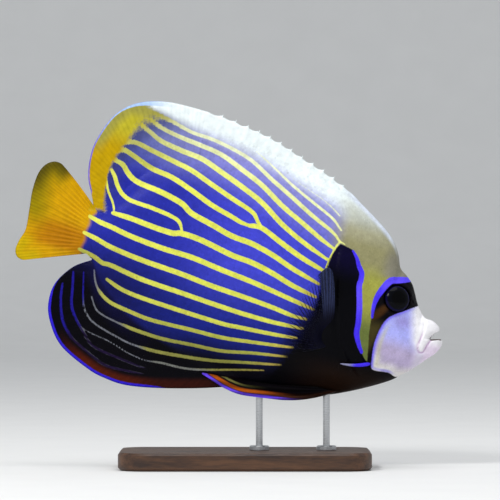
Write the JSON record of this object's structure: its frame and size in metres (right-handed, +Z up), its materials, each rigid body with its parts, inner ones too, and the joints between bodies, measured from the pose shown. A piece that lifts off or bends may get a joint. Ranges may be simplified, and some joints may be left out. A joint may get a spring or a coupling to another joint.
{
  "type": "emperor angelfish model",
  "caption": "Life-size still model of an adult emperor angelfish swimming nose down, held by a plain wooden base with steel rods.",
  "frame": {"origin": "middle of the underside of the stand's base in height, centre of the whole model's outline in plan", "axes": "+X towards the snout, +Y to the fish's left, +Z up"},
  "size_m": [0.2974, 0.104, 0.2562],
  "materials": {
    "muzzle_skin": "painted cast, satin wet look",
    "mask_skin": "painted cast, satin wet look",
    "flank_skin": "painted cast with fine scales, satin",
    "fin_skin": "painted cast, satin",
    "tail_fin_skin": "painted cast, satin, slightly see-through edge",
    "pectoral_membrane": "thin clear membrane with smoky rays",
    "pelvic_skin": "painted cast, satin",
    "eye": "polished dark glass",
    "base_wood": "dark walnut, oiled",
    "rod_steel": "brushed"
  },
  "bodies": {
    "root": {"head": "muzzle_skin", "gill_cover_right": "mask_skin", "gill_cover_left": "mask_skin", "trunk": "flank_skin", "tail_stem": "flank_skin", "dorsal_fin_spiny": "fin_skin", "dorsal_fin_soft": "fin_skin", "anal_fin": "fin_skin", "tail_fin": "tail_fin_skin", "pectoral_fin_right": "pectoral_membrane", "pectoral_fin_left": "pectoral_membrane", "pelvic_fin_right": "pelvic_skin", "pelvic_fin_left": "pelvic_skin", "eye_right": "eye", "eye_left": "eye", "stand_base": "base_wood", "stand_rod_front": "rod_steel", "stand_rod_rear": "rod_steel"}
  },
  "joints": []
}
